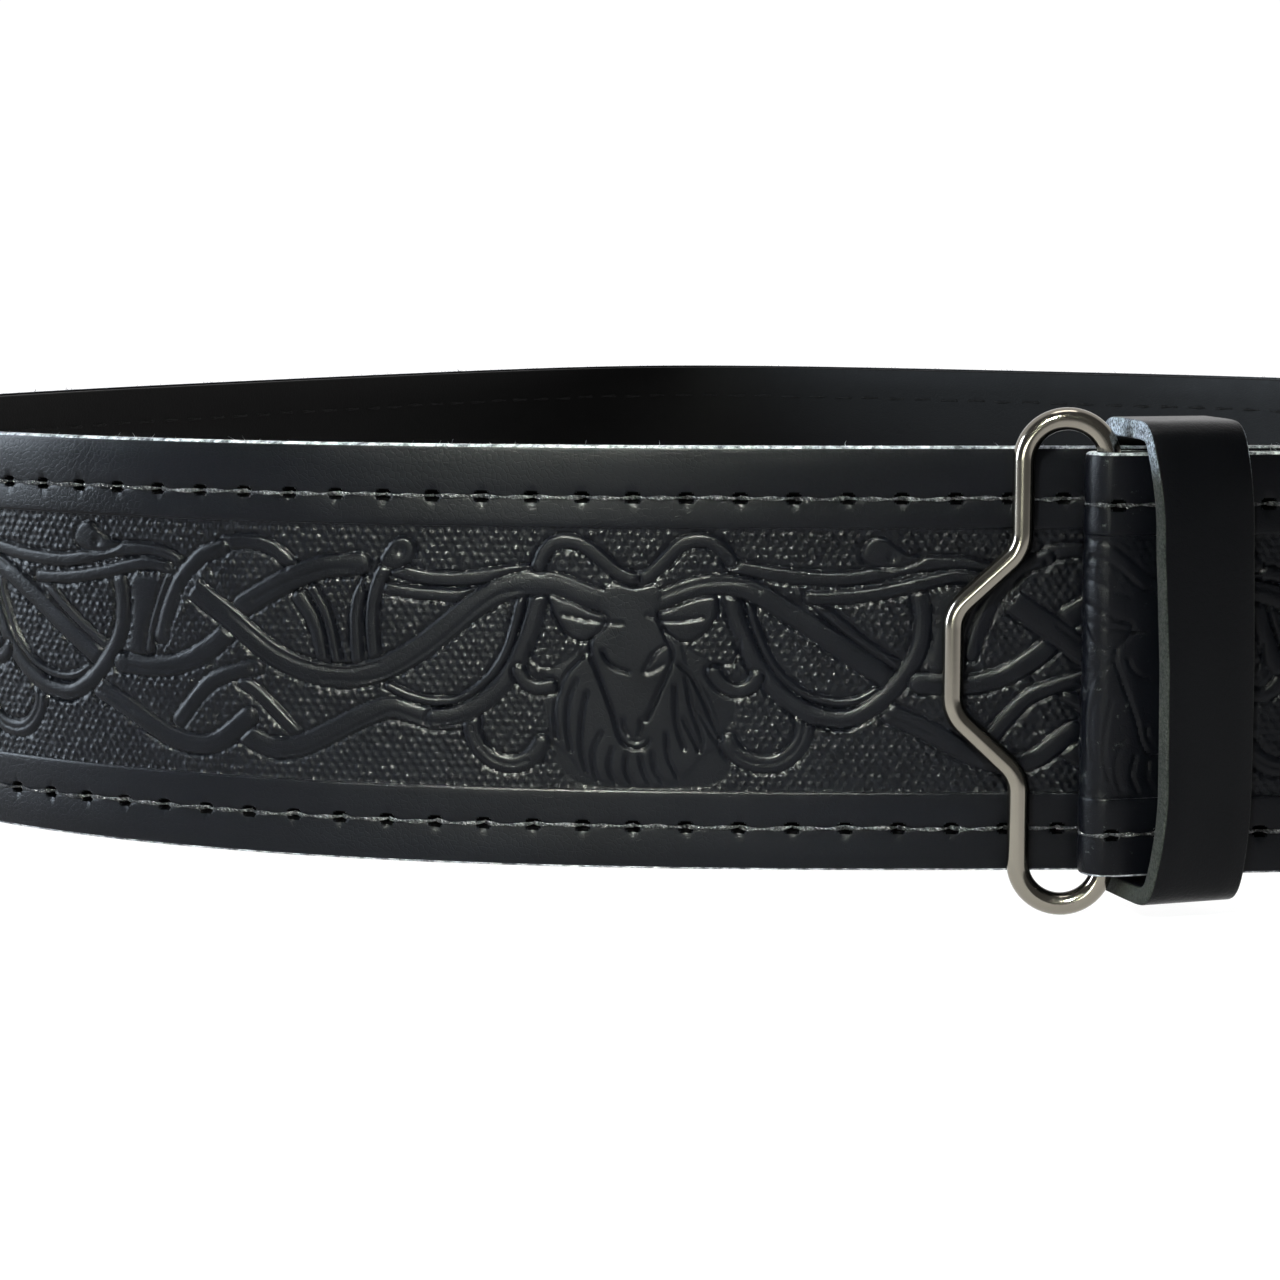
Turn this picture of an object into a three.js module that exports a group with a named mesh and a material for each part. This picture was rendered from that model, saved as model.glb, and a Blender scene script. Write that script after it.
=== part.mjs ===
// Kilt belt: an embossed leather strap closed into a loop, with a bent wire loop and a leather keeper.
// Millimetres, +Z up, the front of the belt towards -Y. The belt stands on a table, on the foot of
// its wire loop and on the far lower edge of the strap, and the origin is under the middle of its box.
import * as THREE from "three";

// Strap
const strapWidth = 57;
const faceThickness = 1.5;
const liningThickness = 1.4;
const layerGap = 0.3;
const liningInset = 0.3;
const edgeChamfer = 0.3;

// Loop that the strap makes, seen from above
const loopWidth = 316;
const loopDepth = 308;
const overlap = 110;
const overlapRise = 70;
const overlapRiseLead = 10;

// Pressed band that frames the ornament
const bandMarginTop = 10.9;
const bandMarginBottom = 10.7;
const bandDepth = 0.35;
const bandSlope = 0.5;

// Turned end, which holds the bar of the wire loop
const barAcross = 61.5;
const endNarrowing = 1;
const flapLength = 38;
const flapThickness = 1.4;
const foldRun = 12;

// Wire loop
const wireDiameter = 3;
const wireHeight = 67.6;
const wireSideReach = 11.2;
const wireMiddleReach = 20.1;
const wireMiddleLength = 13.5;
const wireDiagonalRise = 8.3;
const wireBendRadius = 5;
const wireSeatGap = 0.4;
const wireBarClearance = 0.4;

// Keeper
const keeperLeather = 2.5;
const keeperWidth = 13;
const keeperSlack = 1.8;
const keeperFootGap = 0.5;
const keeperDepthRoom = 8.5;
const keeperFromBar = 8.6;
const keeperForward = 1.2;
const keeperSquareness = 6;
const keeperChamfer = 0.4;

// Mesh steps
const strapStep = 7;
const foldStep = 2;
const rollSteps = 12;
const wireSides = 12;
const wireStep = 3;
const bendSteps = 6;
const keeperSteps = 56;

// Corners of the smooth curve that the strap's outer side follows, clockwise from the front right:
// across is a share of loopWidth, back a share of loopDepth.
const loopRows = [
  { across: 0.38, back: 0.01 },
  { across: 0.19, back: 0.002 },
  { across: 0, back: 0 },
  { across: -0.19, back: 0.036 },
  { across: -0.354, back: 0.143 },
  { across: -0.446, back: 0.318 },
  { across: -0.386, back: 0.513 },
  { across: -0.225, back: 0.747 },
  { across: -0.05, back: 0.98 },
  { across: 0.075, back: 1.01 },
  { across: 0.266, back: 0.885 },
  { across: 0.475, back: 0.734 },
  { across: 0.6, back: 0.455 },
  { across: 0.557, back: 0.162 },
];

// Turn of the keeper about the upright, from its foot up: height is a share of keeperHeight.
const keeperTurns = [
  { height: 0, degrees: 17 },
  { height: 0.24, degrees: 22 },
  { height: 0.5, degrees: 21 },
  { height: 0.78, degrees: 17 },
  { height: 1, degrees: 11 },
];

// Sizes that follow from those above
const stackThickness = faceThickness + layerGap + liningThickness;
const wireRadius = wireDiameter / 2;
const rollRadius = wireRadius + wireBarClearance + faceThickness;
const barOut = layerGap + rollRadius;
const outerLapOut = barOut + stackThickness / 2;
const endWidth = strapWidth - endNarrowing;
const wireDrop = (wireHeight - strapWidth) / 2;
const keeperHeight = strapWidth + keeperSlack + 2 * keeperLeather;
const keeperDepth = outerLapOut + stackThickness + keeperDepthRoom + 2 * keeperLeather;
const keeperDrop = keeperFootGap + keeperLeather;
const wireLean = Math.asin((barOut - wireSeatGap - wireRadius) / wireMiddleReach);

const leather = new THREE.MeshStandardMaterial({ color: 0x17191d, roughness: 0.5, metalness: 0 });
const liningLeather = new THREE.MeshStandardMaterial({ color: 0x141416, roughness: 0.7, metalness: 0 });
const keeperLeatherFinish = new THREE.MeshStandardMaterial({ color: 0x1b1d20, roughness: 0.45, metalness: 0 });
const nickel = new THREE.MeshStandardMaterial({ color: 0xc9c5bb, roughness: 0.16, metalness: 1 });

// Smooth closed curve near its corner rows: a uniform cubic B-spline.
class StrapLoop extends THREE.Curve {
  constructor() {
    super();
    this.arcLengthDivisions = 1400;
    this.corners = loopRows.map((row) => new THREE.Vector3(row.across * loopWidth, row.back * loopDepth, 0));
  }
  getPoint(t, target = new THREE.Vector3()) {
    const count = this.corners.length;
    const place = (((t % 1) + 1) % 1) * count;
    const first = Math.floor(place);
    const u = place - first;
    const weights = [
      (1 - u) ** 3 / 6,
      (3 * u ** 3 - 6 * u ** 2 + 4) / 6,
      (-3 * u ** 3 + 3 * u ** 2 + 3 * u + 1) / 6,
      u ** 3 / 6,
    ];
    target.set(0, 0, 0);
    weights.forEach((weight, i) => target.addScaledVector(this.corners[(first + i + count - 1) % count], weight));
    return target;
  }
}

const strapLoop = new StrapLoop();
const loopLength = strapLoop.getLength();

// Share of the loop's length at which its front crosses the bar's place.
function findBarShare() {
  let low = 0;
  let high = 1 / loopRows.length;
  while (strapLoop.getPointAt(high).x > barAcross) high += 1 / loopRows.length;
  for (let i = 0; i < 40; i += 1) {
    const middle = (low + high) / 2;
    if (strapLoop.getPointAt(middle).x > barAcross) low = middle;
    else high = middle;
  }
  return low;
}
const barShare = findBarShare();

function smooth(value) {
  const t = THREE.MathUtils.clamp(value, 0, 1);
  return t * t * (3 - 2 * t);
}

// Point at a run along the loop from the bar, moved out of the loop by a distance.
function loopPoint(run, out) {
  const share = (((barShare + run / loopLength) % 1) + 1) % 1;
  const tangent = strapLoop.getTangentAt(share);
  const point = strapLoop.getPointAt(share);
  return new THREE.Vector2(point.x - tangent.y * out, point.y + tangent.x * out);
}

// How far the strap's outer side stands out of the loop: 0 on the inner lap, more on the outer lap.
function lapOut(run) {
  const start = loopLength - overlap - overlapRiseLead - overlapRise;
  return outerLapOut * smooth((run - start) / overlapRise);
}

// The strap narrows a little towards its turned end.
function halfHeight(run) {
  const start = loopLength - overlap - overlapRiseLead - overlapRise;
  return (strapWidth - endNarrowing * smooth((run - start) / overlapRise)) / 2;
}

// Runs from one place to another in equal steps no longer than a given one, without the last place.
function runsBetween(from, to, step) {
  const count = Math.max(1, Math.ceil(Math.abs(to - from) / step));
  return Array.from({ length: count }, (_, i) => from + ((to - from) * i) / count);
}

// Runs of the stations that the face and the lining share, up to the edge of the flap.
function lapRuns() {
  const outerLap = runsBetween(loopLength - overlap, loopLength - flapLength - strapStep, strapStep);
  return [...runsBetween(-overlap, loopLength - overlap, strapStep), ...outerLap];
}

// Solid through rings of points. An open row of rings is capped, and a closed one joins its ends.
function loft(rings, closed) {
  const size = rings[0].length;
  const positions = rings.flat().flatMap((point) => [point.x, point.y, point.z]);
  const triangles = [];
  const last = closed ? rings.length : rings.length - 1;
  for (let i = 0; i < last; i += 1) {
    const here = i * size;
    const next = ((i + 1) % rings.length) * size;
    for (let j = 0; j < size; j += 1) {
      const k = (j + 1) % size;
      triangles.push(here + j, next + j, next + k, here + j, next + k, here + k);
    }
  }
  if (!closed) {
    const end = (rings.length - 1) * size;
    for (const [a, b, c] of capTriangles(rings[0])) triangles.push(a, b, c);
    for (const [a, b, c] of capTriangles(rings[rings.length - 1])) triangles.push(end + a, end + c, end + b);
  }
  const geometry = new THREE.BufferGeometry();
  geometry.setAttribute("position", new THREE.Float32BufferAttribute(positions, 3));
  geometry.setIndex(triangles);
  return faceOut(geometry);
}

// Triangles of the flat polygon that a ring bounds, as places in the ring.
function capTriangles(ring) {
  const normal = new THREE.Vector3();
  ring.forEach((point, i) => normal.add(new THREE.Vector3().crossVectors(point, ring[(i + 1) % ring.length])));
  normal.normalize();
  const along = new THREE.Vector3().subVectors(ring[1], ring[0]).normalize();
  const across = new THREE.Vector3().crossVectors(normal, along);
  const flat = ring.map((point) => new THREE.Vector2(point.dot(along), point.dot(across)));
  return THREE.ShapeUtils.triangulateShape(flat, []);
}

// Turns every triangle round if the solid's faces point in.
function faceOut(geometry) {
  const place = geometry.getAttribute("position");
  const index = geometry.getIndex();
  const corners = [new THREE.Vector3(), new THREE.Vector3(), new THREE.Vector3()];
  let volume = 0;
  for (let i = 0; i < index.count; i += 3) {
    corners.forEach((corner, j) => corner.fromBufferAttribute(place, index.getX(i + j)));
    volume += corners[0].dot(corners[1].cross(corners[2]));
  }
  if (volume < 0) {
    const turned = [];
    for (let i = 0; i < index.count; i += 3) turned.push(index.getX(i), index.getX(i + 2), index.getX(i + 1));
    geometry.setIndex(turned);
  }
  geometry.computeVertexNormals();
  return geometry;
}

// Out-facing normals of an open row of plan points that runs clockwise.
function planNormals(points) {
  return points.map((point, i) => {
    const before = points[Math.max(i - 1, 0)];
    const after = points[Math.min(i + 1, points.length - 1)];
    const into = new THREE.Vector2().subVectors(point, before).normalize();
    const onward = new THREE.Vector2().subVectors(after, point).normalize();
    const tangent = into.add(onward).normalize();
    return new THREE.Vector2(-tangent.y, tangent.x);
  });
}

// Sheet of leather whose outer side follows plan stations, with a section given for each station as
// pairs of depth under that side and height.
function leatherSheet(stations, section) {
  const normals = planNormals(stations.map((station) => station.point));
  const rings = stations.map((station, i) =>
    section(station).map(
      ([depth, height]) =>
        new THREE.Vector3(
          station.point.x - normals[i].x * depth,
          station.point.y - normals[i].y * depth,
          height,
        ),
    ),
  );
  return loft(rings, false);
}

// Face leather: from the hidden end, once round the loop, round the bar and back as a flap.
function faceStations() {
  const stations = [];
  const runs = [...lapRuns(), ...runsBetween(loopLength - flapLength, loopLength - foldRun, strapStep)];
  for (const run of runs) {
    stations.push({ point: loopPoint(run, lapOut(run)), half: halfHeight(run), thickness: faceThickness });
  }
  const rollFront = barOut + rollRadius;
  for (const run of runsBetween(loopLength - foldRun, loopLength, foldStep)) {
    const out = THREE.MathUtils.lerp(outerLapOut, rollFront, smooth(1 - (loopLength - run) / foldRun));
    stations.push({ point: loopPoint(run, out), half: endWidth / 2, thickness: faceThickness });
  }
  const bar = loopPoint(0, barOut);
  for (let i = 0; i <= rollSteps; i += 1) {
    const angle = (Math.PI * i) / rollSteps;
    const x = bar.x - rollRadius * Math.sin(angle);
    const y = bar.y - rollRadius * Math.cos(angle);
    stations.push({ point: new THREE.Vector2(x, y), half: endWidth / 2, thickness: faceThickness });
  }
  const flapOut = outerLapOut - stackThickness;
  const flapRuns = [
    ...runsBetween(foldStep, foldRun, foldStep),
    ...runsBetween(foldRun, flapLength, strapStep),
    flapLength,
  ];
  for (const run of flapRuns) {
    const share = smooth(run / foldRun);
    stations.push({
      point: loopPoint(-run, THREE.MathUtils.lerp(layerGap, flapOut, share)),
      half: endWidth / 2,
      thickness: THREE.MathUtils.lerp(faceThickness, flapThickness, share),
    });
  }
  return stations;
}

function faceSection({ half, thickness }) {
  const middle = strapWidth / 2;
  const top = middle + half;
  const bottom = middle - half;
  const bandTop = strapWidth - bandMarginTop;
  return [
    [0, bottom + edgeChamfer],
    [0, bandMarginBottom],
    [bandDepth, bandMarginBottom + bandSlope],
    [bandDepth, bandTop - bandSlope],
    [0, bandTop],
    [0, top - edgeChamfer],
    [edgeChamfer, top],
    [thickness, top],
    [thickness, bottom],
    [edgeChamfer, bottom],
  ];
}

// Lining: behind the face all the way from the hidden end to the edge of the flap.
function liningStations() {
  const depth = faceThickness + layerGap;
  const runs = [...lapRuns(), loopLength - flapLength - layerGap];
  return runs.map((run) => ({ point: loopPoint(run, lapOut(run) - depth), half: halfHeight(run) - liningInset }));
}

function liningSection({ half }) {
  const middle = strapWidth / 2;
  return [
    [0, middle - half],
    [0, middle + half],
    [liningThickness, middle + half],
    [liningThickness, middle - half],
  ];
}

// Closed row of flat points with each corner rounded to a radius. A corner without a radius stays.
function roundCorners(corners) {
  const points = [];
  corners.forEach((corner, i) => {
    const before = corners[(i + corners.length - 1) % corners.length].place;
    const after = corners[(i + 1) % corners.length].place;
    const back = new THREE.Vector2().subVectors(before, corner.place).normalize();
    const on = new THREE.Vector2().subVectors(after, corner.place).normalize();
    const opening = Math.acos(THREE.MathUtils.clamp(back.dot(on), -1, 1));
    const reach = corner.radius / Math.tan(opening / 2);
    const start = corner.place.clone().addScaledVector(back, reach);
    const centre = corner.place
      .clone()
      .addScaledVector(back.clone().add(on).normalize(), corner.radius / Math.sin(opening / 2));
    const arm = start.clone().sub(centre);
    const turn = (Math.PI - opening) * -Math.sign(back.cross(on));
    const steps = Math.max(2, Math.round((bendSteps * 2 * (Math.PI - opening)) / Math.PI));
    for (let j = 0; j <= steps; j += 1) {
      points.push(arm.clone().rotateAround(new THREE.Vector2(), (turn * j) / steps).add(centre));
    }
  });
  return points;
}

// Fills straight stretches of a closed row of points with points no further apart than a step.
function fillStraights(points, step) {
  return points.flatMap((point, i) => {
    const next = points[(i + 1) % points.length];
    const count = Math.max(1, Math.ceil(point.distanceTo(next) / (4 * step)));
    return Array.from({ length: count }, (_, j) => point.clone().lerp(next, j / count));
  });
}

// Wire loop: a straight bar, and a side that steps out at mid height. x is the reach from the bar.
function wireLoop() {
  const low = wireRadius;
  const high = wireHeight - wireRadius;
  const middle = wireHeight / 2;
  const innerHalf = wireMiddleLength / 2;
  const outerHalf = innerHalf + wireDiagonalRise;
  const endRadius = wireSideReach / 2 - 0.01;
  const corner = (x, y, radius) => ({ place: new THREE.Vector2(x, y), radius });
  const row = fillStraights(
    roundCorners([
      corner(0, low, endRadius),
      corner(wireSideReach, low, endRadius),
      corner(wireSideReach, middle - outerHalf, wireBendRadius),
      corner(wireMiddleReach, middle - innerHalf, wireBendRadius),
      corner(wireMiddleReach, middle + innerHalf, wireBendRadius),
      corner(wireSideReach, middle + outerHalf, wireBendRadius),
      corner(wireSideReach, high, endRadius),
      corner(0, high, endRadius),
    ]),
    wireStep,
  );
  const rings = row.map((point, i) => {
    const before = row[(i + row.length - 1) % row.length];
    const after = row[(i + 1) % row.length];
    const into = new THREE.Vector2().subVectors(point, before).normalize();
    const tangent = into.add(new THREE.Vector2().subVectors(after, point).normalize()).normalize();
    return Array.from({ length: wireSides }, (_, j) => {
      const angle = (2 * Math.PI * j) / wireSides;
      const side = wireRadius * Math.cos(angle);
      return new THREE.Vector3(
        -(point.x - tangent.y * side),
        -wireRadius * Math.sin(angle),
        point.y + tangent.x * side,
      );
    });
  });
  return loft(rings, true);
}

// Value of a table between its rows.
function between(rows, key, value, place) {
  const next = rows.findIndex((row) => row[key] >= place);
  if (next <= 0) return rows[next === 0 ? 0 : rows.length - 1][value];
  const share = (place - rows[next - 1][key]) / (rows[next][key] - rows[next - 1][key]);
  return THREE.MathUtils.lerp(rows[next - 1][value], rows[next][value], smooth(share));
}

// Keeper: a loose band of leather, squarish round the strap, turned about the upright.
function keeper() {
  const halfDepth = keeperDepth / 2;
  const halfTall = keeperHeight / 2;
  const outline = Array.from({ length: keeperSteps }, (_, i) => {
    const angle = (2 * Math.PI * i) / keeperSteps;
    const power = 2 / keeperSquareness;
    const x = Math.sign(Math.cos(angle)) * Math.abs(Math.cos(angle)) ** power;
    const y = Math.sign(Math.sin(angle)) * Math.abs(Math.sin(angle)) ** power;
    return new THREE.Vector2(x * halfDepth, y * halfTall);
  });
  const halfBand = keeperWidth / 2;
  const section = [
    [-halfBand, keeperChamfer],
    [-halfBand, keeperLeather - keeperChamfer],
    [-halfBand + keeperChamfer, keeperLeather],
    [halfBand - keeperChamfer, keeperLeather],
    [halfBand, keeperLeather - keeperChamfer],
    [halfBand, keeperChamfer],
    [halfBand - keeperChamfer, 0],
    [-halfBand + keeperChamfer, 0],
  ];
  const rings = outline.map((point, i) => {
    const before = outline[(i + outline.length - 1) % outline.length];
    const after = outline[(i + 1) % outline.length];
    const tangent = new THREE.Vector2().subVectors(after, before).normalize();
    return section.map(([along, depth]) => {
      const forward = point.x - tangent.y * depth;
      const height = point.y + tangent.x * depth;
      const turn = THREE.MathUtils.degToRad(between(keeperTurns, "height", "degrees", point.y / keeperHeight + 0.5));
      return new THREE.Vector3(
        along * Math.cos(turn) + forward * Math.sin(turn),
        along * Math.sin(turn) - forward * Math.cos(turn),
        height + halfTall,
      );
    });
  });
  return loft(rings, true);
}

function piece(name, geometry, material) {
  const mesh = new THREE.Mesh(geometry, material);
  mesh.name = name;
  return mesh;
}

const belt = new THREE.Group();
belt.add(piece("strap_face", leatherSheet(faceStations(), faceSection), leather));
belt.add(piece("strap_lining", leatherSheet(liningStations(), liningSection), liningLeather));

const barPlace = loopPoint(0, barOut);
const wire = piece("wire_loop", wireLoop(), nickel);
wire.position.set(barPlace.x, barPlace.y, -wireDrop);
wire.rotation.z = -wireLean;
belt.add(wire);

const keeperPlace = loopPoint(-keeperFromBar, keeperForward);
const band = piece("keeper", keeper(), keeperLeatherFinish);
band.position.set(keeperPlace.x, keeperPlace.y, -keeperDrop);
belt.add(band);

// The foot of the wire loop lifts the front, so the belt leans back until the strap's far edge touches.
const farEdge = Math.max(...Array.from({ length: 400 }, (_, i) => strapLoop.getPointAt(i / 400).y));
belt.rotation.x = -Math.atan2(wireDrop, farEdge - barPlace.y);

// The origin is under the middle of the belt's box, on the table.
const part = new THREE.Group();
part.add(belt);
part.updateMatrixWorld(true);
const box = new THREE.Box3().setFromObject(part, true);
belt.position.set(-(box.min.x + box.max.x) / 2, -(box.min.y + box.max.y) / 2, -box.min.z);

export default part;
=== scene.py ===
import math

import bpy
import numpy as np
from mathutils import Euler, Matrix, Vector


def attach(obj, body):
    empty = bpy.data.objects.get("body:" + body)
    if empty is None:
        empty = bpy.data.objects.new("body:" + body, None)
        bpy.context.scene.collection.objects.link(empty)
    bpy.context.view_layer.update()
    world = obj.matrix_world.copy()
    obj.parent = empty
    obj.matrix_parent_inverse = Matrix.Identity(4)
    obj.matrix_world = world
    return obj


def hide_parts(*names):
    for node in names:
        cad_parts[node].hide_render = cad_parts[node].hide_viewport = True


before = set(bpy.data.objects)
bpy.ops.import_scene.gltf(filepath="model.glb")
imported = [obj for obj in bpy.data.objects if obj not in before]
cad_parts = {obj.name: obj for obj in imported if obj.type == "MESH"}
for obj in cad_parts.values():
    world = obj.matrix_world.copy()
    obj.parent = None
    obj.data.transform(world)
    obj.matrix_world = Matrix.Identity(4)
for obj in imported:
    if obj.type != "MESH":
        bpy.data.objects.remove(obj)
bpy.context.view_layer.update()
print("frame loaded:", ", ".join(sorted(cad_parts)))

# Everything is modelled in millimetres, standing on the strap's lower edge, and seat() scales it,
# leans it back and sets it down where the belt stands.
belt = {
    "loopWidth": 316,
    "loopDepth": 308,
    "corners": (  # across and back, as shares of the two sizes above
        (0.38, 0.01), (0.19, 0.002), (0, 0), (-0.19, 0.036), (-0.354, 0.143),
        (-0.446, 0.318), (-0.386, 0.513), (-0.225, 0.747), (-0.05, 0.98), (0.075, 1.01),
        (0.266, 0.885), (0.475, 0.734), (0.6, 0.455), (0.557, 0.162),
    ),
    "width": 57,
    "endNarrowing": 1,
    "face": 1.5,
    "gap": 0.3,
    "lining": 1.4,
    "liningInset": 0.3,
    "barAcross": 61.5,
    "overlap": 110,
    "overlapRise": 70,
    "overlapRiseLead": 10,
    "barOut": 3.7,
    "outerLapOut": 5.3,
    "rollRadius": 3.4,
    "foldRun": 12,
    "flap": 38,
    "flapOut": 2.1,
    "wearMiddle": 0.75,  # share of the way round the roll
    "wearReach": 6.5,
    "lean": -0.986,
    "place": (-24.574, -146.999, 5.258),
}
millimetre = 0.001


def smooth(value):
    t = np.clip(value, 0, 1)
    return t * t * (3 - 2 * t)


def splinePoints(corners, perSpan=400):
    u = np.arange(perSpan) / perSpan
    weights = np.stack([
        (1 - u) ** 3 / 6,
        (3 * u ** 3 - 6 * u ** 2 + 4) / 6,
        (-3 * u ** 3 + 3 * u ** 2 + 3 * u + 1) / 6,
        u ** 3 / 6,
    ])
    spans = [
        sum(np.outer(weights[k], corners[(i + k - 1) % len(corners)]) for k in range(4))
        for i in range(len(corners))
    ]
    return np.concatenate(spans)


def lengthsAlong(points):
    steps = np.hypot(*np.diff(points, axis=0).T)
    return np.concatenate([[0], np.cumsum(steps)])


loopPoints = splinePoints(np.array(belt["corners"]) * (belt["loopWidth"], belt["loopDepth"]))
loopPoints = np.concatenate([loopPoints, loopPoints[:1]])
loopRuns = lengthsAlong(loopPoints)
loopLength = loopRuns[-1]
around = np.concatenate([loopPoints[-2:-1], loopPoints, loopPoints[1:2]])
loopTangents = around[2:] - around[:-2]
loopTangents /= np.hypot(*loopTangents.T)[:, None]
barRun = loopRuns[np.argmax(loopPoints[:, 0] < belt["barAcross"])]


# Point at a run along the loop from the bar, moved out of the loop by a distance.
def loopAt(run, out=0.0):
    place = (barRun + run) % loopLength
    x, y = (np.interp(place, loopRuns, loopPoints[:, i]) for i in (0, 1))
    tx, ty = (np.interp(place, loopRuns, loopTangents[:, i]) for i in (0, 1))
    return x - ty * out, y + tx * out


riseStart = loopLength - belt["overlap"] - belt["overlapRiseLead"] - belt["overlapRise"]


# Outer side of the strap in plan: once round from the hidden end, round the bar and back as a flap.
def strapRoute():
    rollFront = belt["barOut"] + belt["rollRadius"]
    rows = []
    for run in np.arange(-belt["overlap"], loopLength - belt["foldRun"], 1.0):
        out = belt["outerLapOut"] * smooth((run - riseStart) / belt["overlapRise"])
        rows.append((run, loopAt(run, out)))
    for share in np.arange(0, 1, 1 / 24):
        run = loopLength - belt["foldRun"] * (1 - share)
        out = belt["outerLapOut"] + (rollFront - belt["outerLapOut"]) * smooth(share)
        rows.append((run, loopAt(run, out)))
    barX, barY = loopAt(0, belt["barOut"])
    for angle in np.linspace(0, math.pi, 25):
        x = barX - belt["rollRadius"] * math.sin(angle)
        y = barY - belt["rollRadius"] * math.cos(angle)
        rows.append((loopLength, (x, y)))
    for run in np.arange(0.5, belt["flap"] + 0.1, 0.5):
        out = belt["gap"] + (belt["flapOut"] - belt["gap"]) * smooth(run / belt["foldRun"])
        rows.append((loopLength + run, loopAt(-run, out)))
    return np.array([row[0] for row in rows]), np.array([row[1] for row in rows])


routeRuns, routePoints = strapRoute()
routeLengths = lengthsAlong(routePoints)
strapLength = routeLengths[-1]


# Length along the flat strap at a run from the bar.
def flatAt(run):
    return float(np.interp(run, routeRuns, routeLengths))


def pathCurve(name, points, closed=False, flat=True):
    curve = bpy.data.curves.new(name, "CURVE")
    curve.dimensions = "2D" if flat else "3D"
    spline = curve.splines.new("POLY")
    spline.points.add(len(points) - 1)
    rows = [(*p, 0, 1) if len(p) == 2 else (*p, 1) for p in points]
    spline.points.foreach_set("co", np.array(rows).ravel())
    spline.use_cyclic_u = closed
    holder = bpy.data.objects.new(name, curve)
    bpy.context.scene.collection.objects.link(holder)
    return holder


strapPath = pathCurve("strapPath", routePoints)


def fresh():
    if bpy.context.object and bpy.context.object.mode != "OBJECT":
        bpy.ops.object.mode_set(mode="OBJECT")
    bpy.ops.object.select_all(action="DESELECT")


def only(piece):
    fresh()
    piece.select_set(True)
    bpy.context.view_layer.objects.active = piece


def made(name):
    piece = bpy.context.object
    piece.name = name
    piece.data.name = name
    return piece


def edit(piece, kind="VERT"):
    only(piece)
    bpy.ops.object.mode_set(mode="EDIT")
    bpy.ops.mesh.select_mode(type=kind)
    bpy.ops.mesh.select_all(action="SELECT")


def finishEdit():
    bpy.ops.object.mode_set(mode="OBJECT")


def facesOut(piece):
    edit(piece)
    bpy.ops.mesh.remove_doubles(threshold=1e-5)
    bpy.ops.mesh.normals_make_consistent(inside=False)
    finishEdit()


def modify(piece, kind, **settings):
    only(piece)
    modifier = piece.modifiers.new(kind.title(), kind)
    for key, value in settings.items():
        setattr(modifier, key, value)
    bpy.ops.object.modifier_apply(modifier=modifier.name)


def places(piece):
    spots = np.empty(len(piece.data.vertices) * 3)
    piece.data.vertices.foreach_get("co", spots)
    return spots.reshape(-1, 3)


def setPlaces(piece, spots):
    piece.data.vertices.foreach_set("co", np.ascontiguousarray(spots, dtype=np.float32).ravel())
    piece.data.update()


# The strap narrows a little towards its turned end.
def narrowEnd(piece):
    spots = places(piece)
    share = smooth((spots[:, 0] - flatAt(riseStart)) / belt["overlapRise"])
    middle = belt["width"] / 2
    spots[:, 2] = middle + (spots[:, 2] - middle) * (1 - belt["endNarrowing"] / belt["width"] * share)
    setPlaces(piece, spots)


# Wear round the bar, at a length along the flat strap.
def wearAt(along):
    middle = flatAt(loopLength) - math.pi * belt["rollRadius"] * belt["wearMiddle"]
    return np.exp(-((along - middle) / belt["wearReach"]) ** 2)


# The wear is kept on the points for the leather's colour and shine.
def markWear(piece):
    mark = piece.data.attributes.new("wear", "FLOAT", "POINT")
    mark.data.foreach_set("value", wearAt(places(piece)[:, 0]).astype(np.float32))


def seat(piece):
    only(piece)
    piece.scale = (millimetre,) * 3
    piece.rotation_euler = (math.radians(belt["lean"]), 0, 0)
    piece.location = Vector(belt["place"]) * millimetre
    bpy.ops.object.transform_apply(location=True, rotation=True, scale=True)


# Takes a piece that is shaped on the flat strap to its place in the belt.
def layIn(piece):
    narrowEnd(piece)
    modify(piece, "CURVE", object=strapPath, deform_axis="POS_X")
    seat(piece)


# Numbers the faces' materials by their middles.
def useMaterial(piece, numberAt):
    middles = np.empty(len(piece.data.polygons) * 3)
    piece.data.polygons.foreach_get("center", middles)
    piece.data.polygons.foreach_set("material_index", numberAt(middles.reshape(-1, 3)).astype(np.int32))


def dress(piece, materials, body="strap", node=None, smoothAngle=40):
    only(piece)
    bpy.ops.object.shade_smooth_by_angle(angle=math.radians(smoothAngle))
    for material in materials:
        piece.data.materials.append(material)
    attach(piece, body)
    if node:
        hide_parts(node)
    print(piece.name, "done:", len(piece.data.polygons), "faces")


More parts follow.
